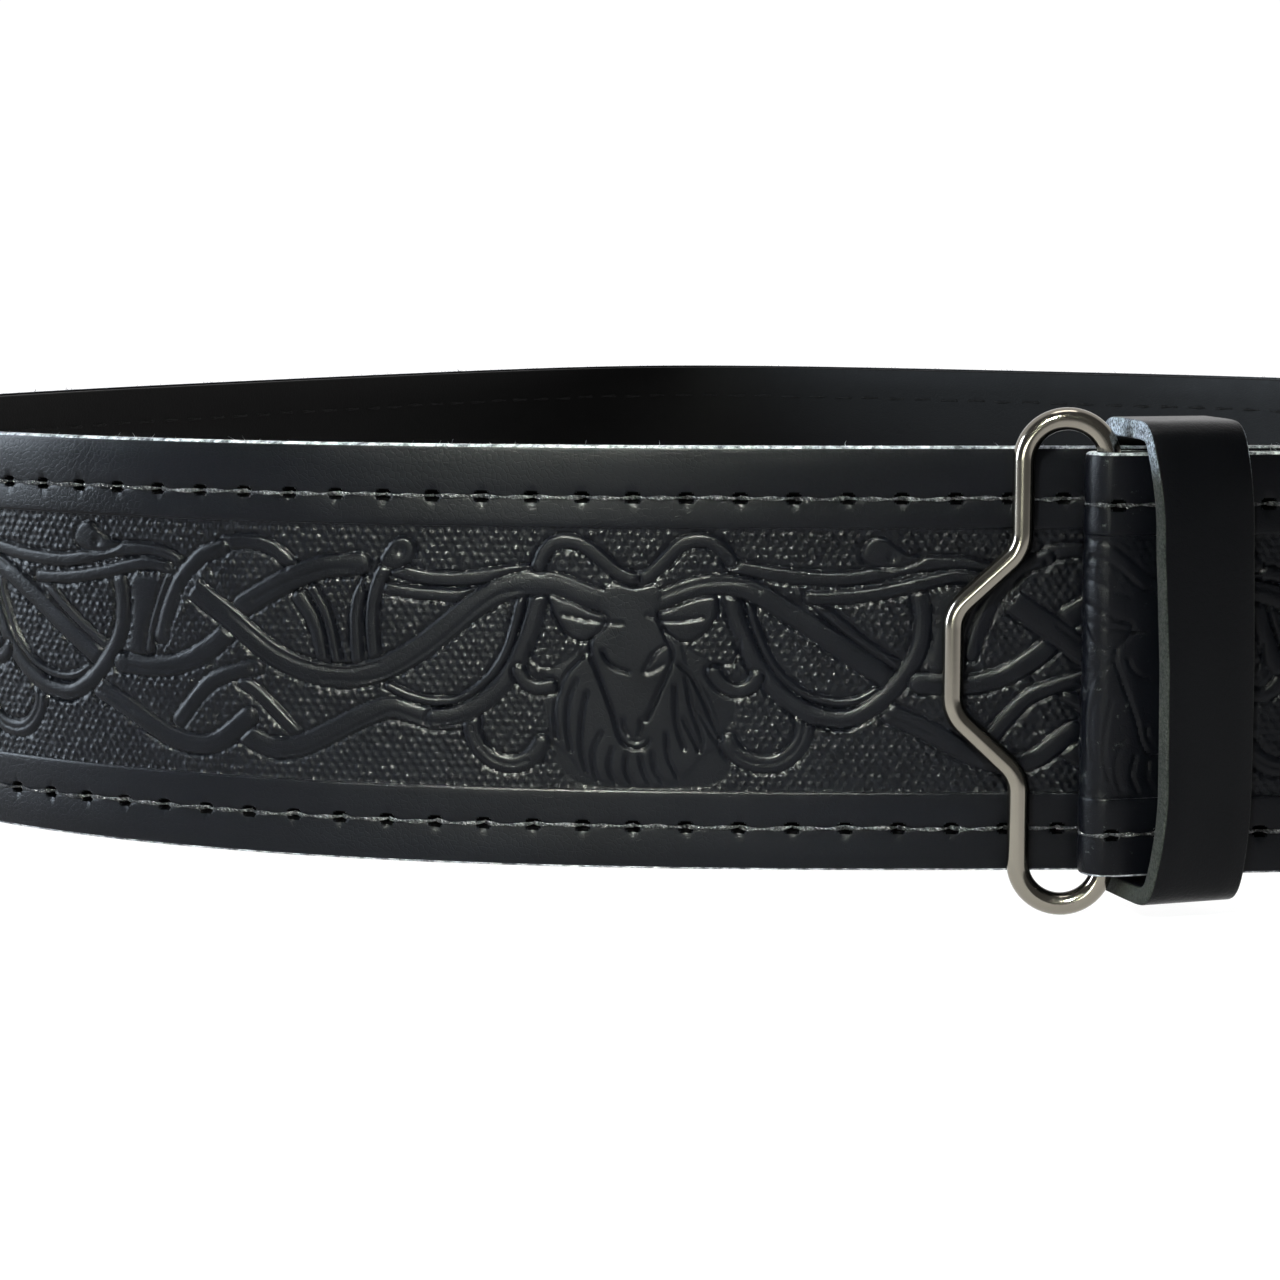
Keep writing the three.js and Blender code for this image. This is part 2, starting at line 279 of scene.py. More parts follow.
class Value:
    tree = None

    def __init__(self, socket):
        self.socket = socket

    @staticmethod
    def node(kind, settings=None, output=0, **inputs):
        added = Value.tree.nodes.new(kind)
        for key, value in (settings or {}).items():
            setattr(added, key, value)
        for key, value in inputs.items():
            name = int(key[1:]) if key[0] == "_" else key.replace("_", " ")
            socket = added.inputs[name]
            if isinstance(value, Value):
                Value.tree.links.new(value.socket, socket)
            else:
                socket.default_value = value
        return Value(added.outputs[output])

    def maths(self, operation, other, swap=False):
        first, second = (other, self) if swap else (self, other)
        return Value.node("ShaderNodeMath", {"operation": operation}, _0=first, _1=second)

    def __add__(self, other):
        return self.maths("ADD", other)

    def __radd__(self, other):
        return self.maths("ADD", other)

    def __sub__(self, other):
        return self.maths("SUBTRACT", other)

    def __rsub__(self, other):
        return self.maths("SUBTRACT", other, swap=True)

    def __mul__(self, other):
        return self.maths("MULTIPLY", other)

    def __rmul__(self, other):
        return self.maths("MULTIPLY", other)

    def between(self, low, high):
        return Value.node(
            "ShaderNodeMapRange", {"interpolation_type": "SMOOTHSTEP"},
            Value=self, From_Min=low, From_Max=high,
        )


def grey(level):
    return (level, level, level, 1)


def mixColours(share, first, second):
    return Value.node("ShaderNodeMix", {"data_type": "RGBA"}, output=2, _0=share, _6=first, _7=second)


def newMaterial(name):
    material = bpy.data.materials.new(name)
    material.use_nodes = True
    material.node_tree.nodes.clear()
    Value.tree = material.node_tree
    return material


def finishMaterial(**inputs):
    shader = Value.node("ShaderNodeBsdfPrincipled", **inputs)
    output = Value.tree.nodes.new("ShaderNodeOutputMaterial")
    Value.tree.links.new(shader.socket, output.inputs["Surface"])


def noise(coords, scale, detail=4.0, roughness=0.55):
    return Value.node("ShaderNodeTexNoise", Vector=coords, Scale=scale, Detail=detail, Roughness=roughness)


def bump(height, strength, distance):
    return Value.node("ShaderNodeBump", Strength=strength, Distance=distance, Height=height)


leatherLook = {
    "dark": (0.0006, 0.0007, 0.0012, 1),
    "pale": (0.002, 0.0023, 0.0036, 1),
    "worn": (0.06, 0.066, 0.062, 1),
    "roughness": 0.3,
    "specular": 0.1,
    "cloudScale": 22,
    "mottleScale": 190,
    "scuffScale": 700,
    "grainScale": 900,
    "poreScale": 1300,
    "grainHeight": 0.00004,
    "bump": 0.6,
}


def leather(name, **changes):
    look = {**leatherLook, **changes}
    material = newMaterial(name)
    coords = Value.node("ShaderNodeTexCoord", output=3)
    cloud = noise(coords, look["cloudScale"], 3)
    mottle = noise(coords, look["mottleScale"], 5)
    grain = noise(coords, look["grainScale"], 6, 0.6)
    pores = Value.node(
        "ShaderNodeTexVoronoi", {"feature": "DISTANCE_TO_EDGE"}, Vector=coords, Scale=look["poreScale"],
    )
    wear = Value.node("ShaderNodeAttribute", {"attribute_name": "wear"}, output=2)
    scuffs = wear * noise(coords, look["scuffScale"], 6, 0.75).between(0.6, 0.72)
    colour = mixColours(cloud.between(0.3, 0.7) * 0.5 + mottle * 0.5, look["dark"], look["pale"])
    finishMaterial(
        Specular_IOR_Level=look["specular"],
        Base_Color=mixColours(scuffs, colour, look["worn"]),
        Roughness=look["roughness"] - 0.1 + mottle * 0.16 + grain * 0.08 + scuffs * 0.1,
        Normal=bump(grain + pores.between(0.0, 0.12) * 0.5, look["bump"], look["grainHeight"]),
    )
    return material


# Cut edge, where the fibres of the leather show. High up its colour turns blue: painted blue light, a painted
# highlight.
def cutEdge(name, dark, pale, scale, paintedBlueLightAbove=1.0, paintedBlueLight=(0.32, 0.36, 0.42, 1)):
    material = newMaterial(name)
    coords = Value.node("ShaderNodeTexCoord", output=3)
    fibres = noise(coords, scale, 6, 0.7)
    height = Value.node("ShaderNodeSeparateXYZ", output=2, Vector=coords)
    # Painted blue light: above a height the edge's colour is mixed towards blue, as a painted highlight.
    paintedLitColour = mixColours(height.between(paintedBlueLightAbove, paintedBlueLightAbove + 0.006), pale, paintedBlueLight)
    finishMaterial(
        Specular_IOR_Level=0.15,
        Roughness=0.9,
        Base_Color=mixColours(fibres.between(0.35, 0.68), dark, paintedLitColour),
        Normal=bump(fibres, 0.9, 0.00025),
    )
    return material


embossedLeather = leather("embossedLeather")
liningLeather = leather(
    "liningLeather", dark=(0.0009, 0.0009, 0.001, 1), pale=(0.0024, 0.0024, 0.0024, 1),
    roughness=0.5, specular=0.1,
)
keeperLeather = leather("keeperLeather", specular=0.09, pale=(0.0018, 0.002, 0.0026, 1))
strapEdge = cutEdge("strapEdge", (0.03, 0.032, 0.038, 1), (0.42, 0.43, 0.46, 1), 900)
# The keeper's edge has painted blue light along its top.
keeperEdge = cutEdge("keeperEdge", (0.005, 0.006, 0.005, 1), (0.027, 0.029, 0.025, 1), 2400, paintedBlueLightAbove=0.058)


# Painted shade: a near-black colour for the insides of the stitch holes.
def paintedHoleShadeFinish():
    material = newMaterial("paintedHoleShade")
    finishMaterial(Base_Color=(0.0004, 0.0004, 0.0005, 1), Roughness=0.9, Specular_IOR_Level=0.02)
    return material


paintedHoleShade = paintedHoleShadeFinish()


def nickelFinish():
    material = newMaterial("nickelPlate")
    coords = Value.node("ShaderNodeTexCoord", output=3)
    haze = noise(coords, 260, 5)
    finishMaterial(
        Metallic=1.0,
        Base_Color=(0.215, 0.198, 0.168, 1),
        Roughness=0.09 + haze * 0.12,
        Normal=bump(noise(coords, 700, 3), 0.15, 0.00004),
    )
    return material


nickelPlate = nickelFinish()


face = {
    "holeAt": 172.4,  # a hole lies here along the flat strap
    "stitchBefore": 7.12,
    "stitchAfter": 6.79,
    "topRow": 50.1,
    "bottomRow": 5.8,
    "holeLong": 0.98,
    "holeTall": 0.76,
    "holeDepth": 1.25,
    "holeRim": 1.2,  # shares of the hole's size: its rim, and the width of its slope
    "holeSlope": 0.5,
    "troughDepth": 0.09,
    "troughHalf": 1.3,
    "edgeRound": 0.45,
    "shoulder": 3.2,
    "shoulderDrop": 0.22,
    "bandBottom": 10.7,
    "bandTop": 46.1,
    "bandFloor": 0.85,
    "bandLip": 0.14,
    "bandLipReach": 0.12,
    "rawEdge": 0.26,
    # Painted shade: the walls of the stitch holes between these levels, and this near a row, get a near-black
    # colour.
    "shadedHoleLevels": (-1.4, -0.3),  # levels, and the reach on both sides of a row of holes
    "shadedHoleReach": 1.2,
}


# Closed sheet over a grid of lengths and heights. Its front is shaped by relief, and its back is flat.
def pressedSheet(name, xs, zs, depth, relief):
    fresh()
    bpy.ops.mesh.primitive_grid_add(x_subdivisions=len(xs) - 1, y_subdivisions=len(zs) - 1, size=2)
    sheet = made(name)
    edit(sheet)
    bpy.ops.mesh.extrude_region_move(TRANSFORM_OT_translate={"value": (0, 0, -1)})
    bpy.ops.mesh.select_all(action="DESELECT")
    bpy.ops.mesh.select_mode(type="EDGE")
    finishEdit()
    spots = places(sheet)
    ends = np.empty(len(sheet.data.edges) * 2, dtype=np.int32)
    sheet.data.edges.foreach_get("vertices", ends)
    a, b = spots[ends.reshape(-1, 2)].transpose(1, 0, 2)
    lengthwise = (np.abs(a[:, 1] - b[:, 1]) < 1e-6) & (np.abs(a[:, 1]) < 0.9999)
    sheet.data.edges.foreach_set("select", lengthwise & (a[:, 2] < -0.5) & (b[:, 2] < -0.5))
    bpy.ops.object.mode_set(mode="EDIT")
    bpy.ops.mesh.dissolve_edges(use_verts=True)
    finishEdit()
    spots = places(sheet)
    column = np.rint((spots[:, 0] + 1) / 2 * (len(xs) - 1)).astype(int)
    row = np.rint((spots[:, 1] + 1) / 2 * (len(zs) - 1)).astype(int)
    front = spots[:, 2] > -0.5
    heights = relief(xs, zs)
    outward = np.where(front, heights[column, row], -depth)
    setPlaces(sheet, np.stack([xs[column], outward, zs[row]], axis=1))
    facesOut(sheet)
    return sheet


holePlaces = np.concatenate([
    np.arange(face["holeAt"], -8, -face["stitchBefore"])[::-1],
    np.arange(face["holeAt"] + face["stitchAfter"], strapLength + 8, face["stitchAfter"]),
])


def holeColumns(length):
    steps = (0, 0.4, 0.72, 1.0, 1.4)
    columns = [holePlaces + side * step for step in steps for side in (-1, 1)]
    columns = np.concatenate(columns + [(holePlaces[1:] + holePlaces[:-1]) / 2])
    columns = np.unique(np.round(columns[(columns > 0.4) & (columns < length - 0.4)], 4))
    return np.concatenate([[0, 0.12], columns, [length - 0.12, length]])


def marginRows():
    near = (0, 0.3, 0.54, 0.8, 1.3, 2.1)
    low, high = face["bottomRow"], face["topRow"]
    rows = [low + side * step for step in near for side in (-1, 1)]
    rows += [high + side * step for step in near for side in (-1, 1)]
    for edge, side in ((0, 1), (belt["width"], -1)):
        rows += [edge + side * step for step in (0, 0.05, 0.16, 0.32, 0.5, 0.8, 1.4, 2.1, 2.8)]
    bottom, top = face["bandBottom"], face["bandTop"]
    rows += [bottom - 1.2, bottom - 0.4, bottom - 0.12, bottom, bottom + 0.03]
    rows += [top - 0.03, top, top + 0.12, top + 0.4, top + 1.2]
    return np.unique(np.round(rows, 4))


def faceRelief(xs, zs):
    x, z = xs[:, None], zs[None, :]
    edge = np.minimum(z, belt["width"] - z)
    turn = np.clip(1 - edge / face["edgeRound"], 0, 1)
    shoulder = np.clip(1 - edge / face["shoulder"], 0, 1)
    heights = -face["edgeRound"] * (1 - np.sqrt(1 - turn ** 2)) - face["shoulderDrop"] * shoulder ** 2 + 0 * x
    along = np.abs(x - holePlaces).min(axis=1)[:, None]
    for row in (face["bottomRow"], face["topRow"]):
        away = z - row
        heights = heights - face["troughDepth"] * np.exp(-(away / face["troughHalf"]) ** 2)
        reach = np.hypot(along / face["holeLong"], away / face["holeTall"])
        heights = heights - face["holeDepth"] * smooth((face["holeRim"] - reach) / face["holeSlope"])
    outside = np.minimum(z - face["bandBottom"], face["bandTop"] - z)
    heights = heights - face["bandLip"] * np.exp(-np.clip(-outside, 0, 9) / face["bandLipReach"])
    return np.where(outside > 0.01, -face["bandFloor"], heights)


# Cut edges are 1 and the insides of the stitch holes, painted near black as shade, 2.
def faceMaterial(at):
    fromEdge = np.minimum(at[:, 2], belt["width"] - at[:, 2])
    fromRow = np.minimum(np.abs(at[:, 2] - face["bottomRow"]), np.abs(at[:, 2] - face["topRow"]))
    low, high = face["shadedHoleLevels"]
    inPaintedHoleShade = (at[:, 1] > low) & (at[:, 1] < high) & (fromRow < face["shadedHoleReach"])
    return np.where(fromEdge < face["rawEdge"], 1, np.where(inPaintedHoleShade, 2, 0))


strapFace = pressedSheet("embossed_strap", holeColumns(strapLength), marginRows(), belt["face"], faceRelief)
useMaterial(strapFace, faceMaterial)
markWear(strapFace)
layIn(strapFace)
dress(strapFace, [embossedLeather, strapEdge, paintedHoleShade], node="strap_face")


# Pressed ornament. It was charted: a row gives what is painted, its width, level or depth, and
# the points of its line as distances to the left of the bar and heights above the strap's lower edge.
# A band lies over what comes before it, a butt band ends under another, a leaf has a groove round it.
ornament = {
    "repeat": 113,
    "seam": 103,  # first seam along the flat strap
    "chartStart": 111.5,
    "steps": {0: 1.0, 1: 0.24, 2: 0.24, 9: 0.3},  # finer where the repeat is seen close
    "otherStep": 0.55,
    "clear": 0.05,
    "endClear": 0.3,
    "shortest": 20,  # no panel is shorter
    "depth": 1.0,
    "wornAway": 0.62,
    "lowest": -0.75,
    "highest": 0.08,
    "far": 9.0,
    "ground": -0.34,
    "pebble": 0.24,
    "pebbleAlong": 1.28,
    "pebbleUp": 0.98,
    "pebbleRadius": 0.38,
    "pebbleSway": (0.28, 0.24),
    "pebbleShares": (0.6, 0.7),  # least height, and what chance adds
    "top": -0.03,
    "crown": 0.09,
    "groove": 0.3,
    "grooveHalf": 0.24,
    "line": 0.07,
    "lineAt": 0.6,
    "lineHalf": 0.17,
    "cutHalf": 0.26,
    "slopeHalf": 0.12,
    "leafGroove": 0.28,
    "rimDrop": 0.1,
    "rimReach": 0.5,
    "rows": (
        ("patch", -0.3, (
            (73, 26), (72.8, 21), (71.8, 16.5), (70, 12.5), (66, 11), (56, 10.9), (50, 11.6), (47.6, 14),
            (48.6, 18), (47, 21.5), (48.5, 26), (55, 30.5), (66, 30.5), (70.5, 28),
        )),
        ("patch", -0.1, (
            (133.4, 37.5), (129.3, 37.5), (129.9, 35), (131, 32.5), (131.8, 29.5), (132, 26.6),
            (134.2, 26.6), (133.7, 31), (133.3, 34.5),
        )),
        ("patch", -0.12, (
            (66.9, 31), (68.3, 29), (70.5, 26.5), (72, 21.5), (71.8, 17.5), (69.5, 15.2), (67.5, 12.8),
            (64, 11.7), (60, 11.3), (56.5, 11.6), (53.6, 12.9), (51.5, 15.6), (48.7, 17.2), (49.6, 20),
            (51, 24), (53.5, 27.3), (55, 31), (60, 33),
        )),
        ("band", 2.3, ((107.2, 35.8), (105.6, 33.5), (104.6, 31), (103.8, 27.4))),
        ("band", 1.7, ((105.2, 37), (103.4, 33.8), (102.6, 31), (101.9, 27.2))),
        ("band", 2.2, ((118.6, 42.9), (115, 43.3), (112, 42.8), (110, 41.7), (108.4, 40.2))),
        ("band", 3.3, (
            (115.8, 34.3), (113.5, 35.7), (111, 37.1), (108, 38.6), (105, 39.7), (102, 40.4), (98.4, 40.7),
        )),
        ("band", 1.9, ((98.8, 26.5), (99.1, 30), (99.1, 33.5), (98.6, 36.2), (97.5, 38.2))),
        ("butt", 2.1, ((74, 40.2), (78, 39.9), (82, 39.2), (86, 38.9), (90, 39.2), (94, 40.2))),
        ("band", 1.8, ((97, 37.8), (94, 37.4), (91, 37.0), (88, 36.8), (85, 36.7), (82.5, 37))),
        ("band", 2.0, ((96.2, 26.6), (96.7, 30), (96.8, 33.5), (96.4, 36.5), (95.4, 39.2), (93.8, 41.5))),
        ("band", 2.0, ((116, 23.8), (114, 22.6), (112.3, 21.2), (110.2, 19.2), (107.9, 17))),
        ("butt", 3.1, (
            (84, 20.1), (88, 19.8), (91.5, 20.7), (94.5, 21.1), (98, 19.9), (102, 17.9), (106, 15.9),
            (109, 15), (112, 15), (115, 16.2), (117.5, 17.8),
        )),
        ("band", 2.3, ((126.2, 18), (123.5, 21.2), (121, 23.6), (118, 24.9), (115, 25.7), (113.7, 25.9))),
        ("band", 2.9, (
            (139.5, 21.4), (135, 19.3), (131, 17.1), (128, 15.6), (125, 14.8), (122, 14.7), (119.5, 15.6),
            (117, 17.5), (115.2, 19),
        )),
        ("band", 1.4, (
            (45.6, 36.8), (44.9, 34), (43.8, 31), (42.3, 28), (40.3, 25.6), (37.5, 23.8), (34, 22.9),
            (31, 23.1), (28.2, 24.4),
        )),
        ("band", 1.4, (
            (94.4, 24.1), (91, 22.7), (87, 22.2), (84, 22.9), (81, 25.1), (79, 27.6), (77.6, 30.5),
            (76.6, 34), (76, 36.6),
        )),
        ("band", 2.6, (
            (38.4, 21.6), (37.9, 19.2), (38.8, 16.9), (40.7, 15), (43, 14.4), (45.5, 14.9), (47.3, 16.1),
            (48.1, 17.4),
        )),
        ("band", 2.5, (
            (83.1, 20.6), (82.7, 17.8), (81.6, 15.7), (79.5, 14.3), (77.3, 13.9), (75.2, 14.6),
            (73.9, 15.9), (73.4, 16.9),
        )),
        ("band", 2.1, (
            (47.6, 41), (44, 40.4), (40, 39.8), (36, 39.5), (32, 39.5), (28, 40.2), (24, 41.2), (20, 41.5),
            (16, 41.3), (13.5, 40.4), (12.5, 39.4),
        )),
        ("butt", 2.5, (
            (31, 21), (33, 20.5), (36, 20.9), (38.5, 22), (41, 23.8), (43, 26), (44.8, 28.5), (45.9, 31),
            (47, 34), (47.9, 38),
        )),
        ("band", 1.7, ((36.6, 36.2), (34, 34), (31, 31.5), (28, 29.3), (25.2, 27.6))),
        ("butt", 3.0, (
            (59, 36), (57, 36.4), (55, 37.3), (53, 38), (51, 38.5), (49, 38.6), (46, 38.1), (43, 36.7),
            (40, 34.9), (37, 33), (34, 30.9), (31, 28.8), (28, 26.8), (26.5, 25.7),
        )),
        ("band", 1.5, ((130.8, 27.5), (130.1, 31), (129, 34), (127.7, 37.3), (126.8, 38.8))),
        ("butt", 2.5, (
            (23, 38.4), (22.4, 35.5), (22.3, 33), (22.8, 30), (24.2, 27.2), (26.3, 24.5), (28.6, 22.4),
            (31, 21), (33, 20.5), (36, 20.9),
        )),
        ("band", 2.6, (
            (88, 19.9), (85, 20.5), (82, 21.9), (79.5, 23.9), (77.3, 26.7), (75.8, 29.7), (74.6, 33),
            (73.5, 37),
        )),
        ("band", 2.0, (
            (37.4, 36.9), (34, 36.9), (30, 37.3), (25, 38.2), (20.5, 39.3), (17.5, 39.7), (14.6, 39.2),
        )),
        ("band", 2.3, (
            (128.9, 29.5), (128, 32.5), (127, 35), (125.8, 37.3), (124, 39.4), (122, 41.2), (118.9, 42.3),
        )),
        ("band", 3.0, ((135.6, 25.4), (131, 25.2), (127, 25.6), (123.5, 26.9), (120.5, 28.7), (118.6, 30.3))),
        ("butt", 3.4, (
            (123.4, 36.4), (120.5, 34.4), (118, 32.7), (115, 30.4), (112, 28.3), (108, 26.4), (104, 25.4),
            (100, 25.2), (96, 26.2), (93, 27.6), (90, 29.4), (88, 30.9), (86, 32.5), (84, 34.2),
            (81.5, 36), (79, 37.4), (76, 38.4), (73, 38.6), (71, 38.3), (69, 37.6), (67, 36.8), (64, 36),
        )),
        ("patch", -0.03, (
            (65.2, 37.4), (63.2, 38.6), (61, 38.4), (59.2, 38.6), (57.4, 38), (56.8, 36), (57.6, 34.4),
            (55.8, 31.5), (55.6, 29), (56.3, 26.8), (57.5, 24), (58.5, 21.5), (59, 19), (58.8, 17.1),
            (60, 16.3), (61.5, 16.6), (62.6, 17.8), (63.6, 20.6), (64.8, 24), (66.2, 28), (66.6, 30.5),
            (65.4, 33), (64.8, 34.6), (65.4, 35.8),
        )),
        ("band", 2.0, (
            (61, 39.3), (59.3, 39.5), (57.5, 40.9), (56, 42.5), (54.5, 43.9), (52.5, 44.5), (50.5, 44.3),
            (49, 43.3), (47.9, 41.9),
        )),
        ("band", 2.0, (
            (61, 39.3), (63, 40.1), (65, 41.8), (67, 43.4), (69, 44.2), (71.2, 44.1), (72.8, 42.8),
            (73.6, 41),
        )),
        ("band", 2.1, ((50.1, 26.8), (48.8, 25.1), (46.9, 24.4), (45.2, 25), (44.4, 26.1))),
        ("band", 2.1, ((76.4, 26.6), (75.3, 25), (73.7, 24.4), (72.1, 24.7))),
        ("leaf", -0.02, (
            (30.6, 42), (30.3, 43.8), (29.3, 44.9), (27.8, 45.1), (26.2, 44.1), (24.5, 42.9), (22.6, 42.2),
            (24.8, 41.1), (28, 40.9),
        )),
        ("leaf", -0.02, (
            (95.6, 41), (94.6, 43), (93.2, 44.3), (91.7, 44.5), (90.6, 43.6), (90.5, 42.1), (91.6, 40.8),
            (93.6, 40.1),
        )),
        ("leaf", 0.0, (
            (72.2, 37.1), (70, 36.4), (68.3, 35.8), (66.5, 35), (64.5, 34.2), (65, 32.6), (66.9, 31),
            (68.5, 31), (69.9, 31.9), (71.1, 33.6), (71.9, 35.2),
        )),
        ("leaf", 0.0, (
            (57.5, 34.8), (56, 35.4), (54, 36.3), (52, 36.9), (49.9, 37.1), (49.5, 35.6), (49.9, 34),
            (51, 32.4), (52.5, 31.2), (54, 30.8), (55.4, 31.4), (57, 32.8),
        )),
        ("cut", 0.36, (
            (66.6, 31), (66.7, 29.2), (66.1, 27.6), (64.7, 24), (63.6, 21), (62.9, 18.4), (62.1, 17),
            (60.8, 16.4), (59.4, 16.6), (58.7, 17.6),
        )),
        ("cut", 0.34, (
            (56.9, 32.6), (56.1, 30.6), (55.6, 29), (56.1, 27.2), (57.2, 24.6), (58.4, 21.8), (59.2, 20.2),
        )),
        ("cut", 0.4, ((65, 29.6), (64.4, 28.3), (63.2, 27.3), (61.5, 26.7))),
        ("cut", 0.32, ((56.7, 30.3), (58, 29.3), (58.8, 28), (59.4, 26.8))),
        ("cut", 0.22, ((59, 26.6), (57.8, 27.2), (56.6, 27.9))),
        ("cut", 0.28, ((62.2, 20.4), (62.1, 19.2), (61.5, 18.2))),
        ("cut", 0.28, ((59.8, 20.3), (59.8, 19.2), (60.1, 18.2))),
        ("cut", 0.2, ((61.2, 17.5), (60.3, 17.3), (59.4, 17.7))),
        ("cut", 0.28, ((70.4, 34.4), (67.5, 33.8), (64.5, 33.4), (62.4, 33.3))),
        ("cut", 0.28, ((51.6, 34.2), (54, 33.8), (57, 33.8), (59, 34.4))),
        ("cut", 0.32, ((66.9, 29.5), (68.5, 28), (70, 26.3), (71, 24), (71.6, 21.5), (71.3, 17.7))),
        ("cut", 0.3, ((68.5, 25.6), (69.6, 23), (69.9, 19.5), (69.4, 16))),
        ("cut", 0.3, ((67.1, 24), (67.8, 20.5), (68, 16.5), (67.2, 13.2))),
        ("cut", 0.3, ((65.2, 18.5), (66.3, 16.3), (66.3, 13.8), (65.6, 11.9))),
        ("cut", 0.3, ((63.7, 16.4), (64.2, 13.8), (63.2, 11.6))),
        ("cut", 0.28, ((61.8, 15.7), (61.9, 13.4), (60.9, 11.5))),
        ("cut", 0.28, ((60, 15.4), (59.4, 13), (58.6, 11.6))),
        ("cut", 0.28, ((58.3, 16), (58, 13.6), (56.8, 11.8))),
        ("cut", 0.3, ((56.4, 18.6), (56.2, 15.4), (54.9, 12.6))),
        ("cut", 0.3, ((55.3, 25), (55.1, 20), (54, 16.4))),
        ("cut", 0.28, ((54.2, 20.5), (52.9, 18.2), (52, 16.1))),
        ("cut", 0.3, ((53.8, 26), (53, 22), (51.7, 18), (51.9, 16.4))),
        ("cut", 0.28, ((52.4, 22), (51.2, 20), (49.8, 17.6))),
        ("cut", 0.32, ((54.9, 27.9), (53.2, 26.3), (51.7, 23.6), (50.3, 20.2), (49.1, 17.8))),
        ("cut", 0.26, ((46.7, 31.5), (46.9, 29.3), (48, 28), (49.8, 27.6))),
        ("cut", 0.26, ((74.6, 30.3), (74.7, 28.5), (73.6, 27.4), (72.2, 27.2))),
        ("cut", 0.13, ((57, 37), (55, 37.8), (52, 38.7), (49, 39), (46, 38.7), (44, 37.8))),
        ("cut", 0.13, ((39, 21.3), (36, 20.3), (33, 20), (30, 20.5), (28, 21.3), (25, 20.7), (21, 18.8))),
        ("cut", 0.13, ((37.9, 20), (38.4, 17.6), (40, 15.6), (42.5, 14.5), (45.4, 14.8), (47.3, 16))),
        ("cut", 0.13, ((82.9, 19), (82, 16.8), (80.2, 14.8), (77.5, 13.9), (75.2, 14.5))),
        ("cut", 0.14, (
            (83.5, 20.3), (86, 19.5), (89, 19.4), (92, 20.3), (94, 20.7), (97, 19.5), (103, 16.4),
            (107, 14.5), (110, 14),
        )),
        ("cut", 0.14, (
            (76.2, 37.6), (79, 36.9), (81.5, 35.3), (84, 33.2), (87, 30.6), (91, 27.7), (95, 25.5),
            (99, 24.7), (104, 24.7),
        )),
        ("cut", 0.14, ((117.5, 33.2), (114, 30.6), (110.5, 28.3), (106.5, 26.8), (101, 26.2), (96, 27.2))),
        ("cut", 0.12, ((134.5, 26.4), (131, 26.3), (127.5, 26.8), (124, 28))),
        ("cut", 0.12, ((134.5, 24.9), (130, 24.8), (126, 25.2), (122.5, 26.6))),
        ("cut", 0.14, ((114, 35.2), (110.5, 37.1), (107, 38.6), (103, 39.8), (99.5, 40.1))),
        ("cut", 0.14, ((127.8, 30.5), (127, 33.5), (125.6, 36.3), (123.6, 38.9))),
    ),
    "dots": (  # place, height, reach and height of the mark
        (26.5, 42.3, 0.55, -0.4), (26.5, 42.3, 0.2, 0.25), (92.6, 42.6, 0.55, -0.4),
        (92.6, 42.6, 0.2, 0.25), (98.1, 39.6, 0.5, -0.35), (120.5, 26.1, 0.6, -0.35),
        (114.2, 25.8, 0.5, -0.3), (119.8, 19.2, 0.7, -0.25), (118.9, 41.6, 0.5, -0.3),
        (109.4, 39.9, 0.45, -0.3), (48.5, 41.9, 0.5, -0.3), (120.3, 39.3, 0.5, -0.3),
        (127.3, 39.2, 0.45, -0.25),
    ),
}


# Smooth line through charted points.
def throughPoints(points, closed=False, steps=6):
    p = np.array(points, float)
    if closed:
        around = np.concatenate([p[-1:], p, p[:2]])
    else:
        around = np.concatenate([2 * p[:1] - p[1:2], p, 2 * p[-1:] - p[-2:-1]])
    row = []
    for a, b, c, d in zip(around, around[1:], around[2:], around[3:]):
        for t in np.arange(steps) / steps:
            bend = t * (3 * (b - c) + d - a) + 2 * a - 5 * b + 4 * c - d
            row.append(b + 0.5 * t * (c - a + t * bend))
    if not closed:
        row.append(p[-1])
    return np.array(row)


# Distance of the grid's points from a line, as far as a reach. Past a flat end nothing is near.
def distanceFrom(line, xs, zs, reach, flat=False):
    field = np.full((len(xs), len(zs)), ornament["far"])
    for a, b in zip(line[:-1], line[1:]):
        i0, i1 = np.searchsorted(xs, (min(a[0], b[0]) - reach, max(a[0], b[0]) + reach))
        j0, j1 = np.searchsorted(zs, (min(a[1], b[1]) - reach, max(a[1], b[1]) + reach))
        if i0 == i1 or j0 == j1:
            continue
        x, z = xs[i0:i1, None], zs[None, j0:j1]
        step = b - a
        share = np.clip(((x - a[0]) * step[0] + (z - a[1]) * step[1]) / max(step @ step, 1e-9), 0, 1)
        away = np.hypot(x - a[0] - share * step[0], z - a[1] - share * step[1])
        np.minimum(field[i0:i1, j0:j1], away, out=field[i0:i1, j0:j1])
    for end, before in ((line[0], line[1]), (line[-1], line[-2])):
        if flat:
            x, z = xs[:, None] - end[0], zs[None, :] - end[1]
            past = x * (end - before)[0] + z * (end - before)[1] > 0
            field[past & (np.hypot(x, z) < reach + 0.5)] = ornament["far"]
    return field


def insideOutline(line, xs, zs):
    x, z = xs[:, None], zs[None, :]
    inside = np.zeros((len(xs), len(zs)), bool)
    for a, b in zip(line, np.roll(line, -1, axis=0)):
        if a[1] != b[1]:
            crosses = (a[1] > z) != (b[1] > z)
            inside ^= crosses & (x < (b[0] - a[0]) * (z - a[1]) / (b[1] - a[1]) + a[0])
    return inside


# Number from 0 to 1 that is always the same for the same place.
def chanceAt(*numbers):
    return math.sin(sum(n * m for n, m in zip(numbers, (12.9898, 78.233, 37.719)))) * 43758.5453 % 1


